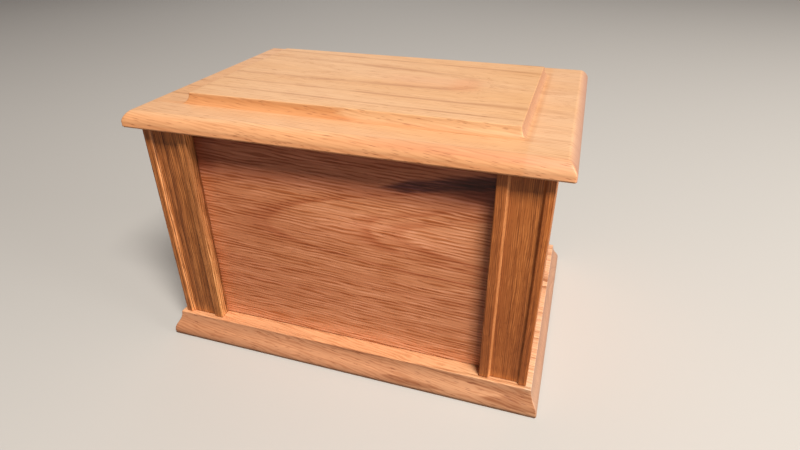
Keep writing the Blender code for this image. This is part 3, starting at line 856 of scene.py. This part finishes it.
def makeStrip(name, node, side, look):
    low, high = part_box(node)
    outline = stripSection(low, high, side, look)
    foot, top = low.z - wallShape["joint"], high.z
    nick, guard = look["endNick"], look["endGuard"]
    levels = [(nick, foot), (0.0, foot + nick), (0.0, foot + guard),
              (0.0, top - guard), (0.0, top - nick), (nick, top)]
    return loft(name, [[(p.x, p.y, z) for p in shrunk(outline, inset)] for inset, z in levels])


settle(makeStrip("left_strip_oak", "strip_left", -1, leftStripBoard), "strip_left",
       makeOak("left strip oak", leftStripBoard))
settle(makeStrip("right_strip_oak", "strip_right", 1, rightStripBoard), "strip_right",
       makeOak("right strip oak", rightStripBoard))


# Floor, lights and camera
stage = dict(
    floorColour=(0.50, 0.49, 0.475), floorBounce=(0.18, 0.165, 0.15), floorRadius=4.0, floorSides=96,
    floorRoughness=0.75, sky=(1.0, 0.86, 0.82), skyStrength=0.12, backdrop=0.75, aim=(0.0, 0.0, 0.1),
    keyPlace=(1.23, -1.27, 2.46), keyTilt=0.50, keyLength=1.3, keyWidth=0.58, keyPower=140.0,
    keyColour=(1.0, 0.94, 0.86),
    sideFrom=(0.95, -0.10, 0.18), sideDistance=2.4, sideSize=1.3, sidePower=30.0,
    sideColour=(1.0, 0.96, 0.90),
    sheenFrom=(-0.45, 1.0, 0.55), sheenDistance=2.2, sheenSize=1.6, sheenPower=4.0,
    sheenColour=(1.0, 0.97, 0.93))


def makeFloor(look):
    bm = bmesh.new()
    bmesh.ops.create_circle(bm, cap_ends=True, segments=look["floorSides"], radius=look["floorRadius"])
    mesh = bpy.data.meshes.new("floor")
    bm.to_mesh(mesh)
    bm.free()
    floor = bpy.data.objects.new("floor", mesh)
    scene.collection.objects.link(floor)
    material = bpy.data.materials.new("pale floor")
    material.use_nodes = True
    tree = material.node_tree
    shader = tree.nodes["Principled BSDF"]
    seen = put(tree, "ShaderNodeLightPath").outputs["Is Camera Ray"]
    tone = tint(tree, seen, colour(look["floorBounce"]), colour(look["floorColour"]))
    plug(tree, shader.inputs["Base Color"], tone)
    shader.inputs["Roughness"].default_value = look["floorRoughness"]
    mesh.materials.append(material)


def addLamp(name, kind, power, tone):
    lamp = bpy.data.lights.new(name, "AREA")
    lamp.shape = kind
    lamp.energy = power
    lamp.color = tone
    holder = bpy.data.objects.new(name, lamp)
    scene.collection.objects.link(holder)
    return lamp, holder


def addDisk(name, look):
    lamp, holder = addLamp(name, "DISK", look[name + "Power"], look[name + "Colour"])
    lamp.size = look[name + "Size"]
    direction = Vector(look[name + "From"])
    holder.location = Vector(look["aim"]) + direction.normalized() * look[name + "Distance"]
    holder.rotation_euler = direction.to_track_quat("Z", "Y").to_euler()


def addTube(look):
    # A long lamp across the room, so that shadows are soft sideways and firmer up and down.
    lamp, holder = addLamp("key", "RECTANGLE", look["keyPower"], look["keyColour"])
    lamp.size = look["keyLength"]
    lamp.size_y = look["keyWidth"]
    holder.location = look["keyPlace"]
    holder.rotation_euler = (look["keyTilt"], 0.0, 0.0)


makeFloor(stage)
addTube(stage)
for name in ("side", "sheen"):
    addDisk(name, stage)


def makeSurround(look):
    # A dim fill all round. The camera sees it as a paler backdrop.
    world = bpy.data.worlds.new("studio")
    world.use_nodes = True
    tree = world.node_tree
    seen = put(tree, "ShaderNodeLightPath").outputs["Is Camera Ray"]
    background = tree.nodes["Background"]
    background.inputs["Color"].default_value = colour(look["sky"])
    plug(tree, background.inputs["Strength"], between(tree, seen, look["skyStrength"], look["backdrop"]))
    scene.world = world


makeSurround(stage)
scene.view_settings.view_transform = "Standard"

view = dict(
    place=(0.13216, -0.35897, 0.29073), yaw=0.3154, pitch=-0.5270, roll=-0.0056,
    focal=546.6, frameWidth=800, sensorWidth=36.0)        # focal and frameWidth in pixels


def addCamera(look):
    yaw, pitch, roll = look["yaw"], look["pitch"], look["roll"]
    ahead = Vector((-math.sin(yaw) * math.cos(pitch), math.cos(yaw) * math.cos(pitch), math.sin(pitch)))
    level = Vector((math.cos(yaw), math.sin(yaw), 0.0))
    upright = level.cross(ahead)
    right = math.cos(roll) * level + math.sin(roll) * upright
    up = math.cos(roll) * upright - math.sin(roll) * level
    lens = bpy.data.cameras.new("camera")
    lens.sensor_width = look["sensorWidth"]
    lens.lens = look["sensorWidth"] * look["focal"] / look["frameWidth"]
    camera = bpy.data.objects.new("camera", lens)
    turned = Matrix((right, up, -ahead)).transposed().to_4x4()
    camera.matrix_world = Matrix.Translation(look["place"]) @ turned
    scene.collection.objects.link(camera)
    scene.camera = camera


addCamera(view)
print("stage and camera ready")
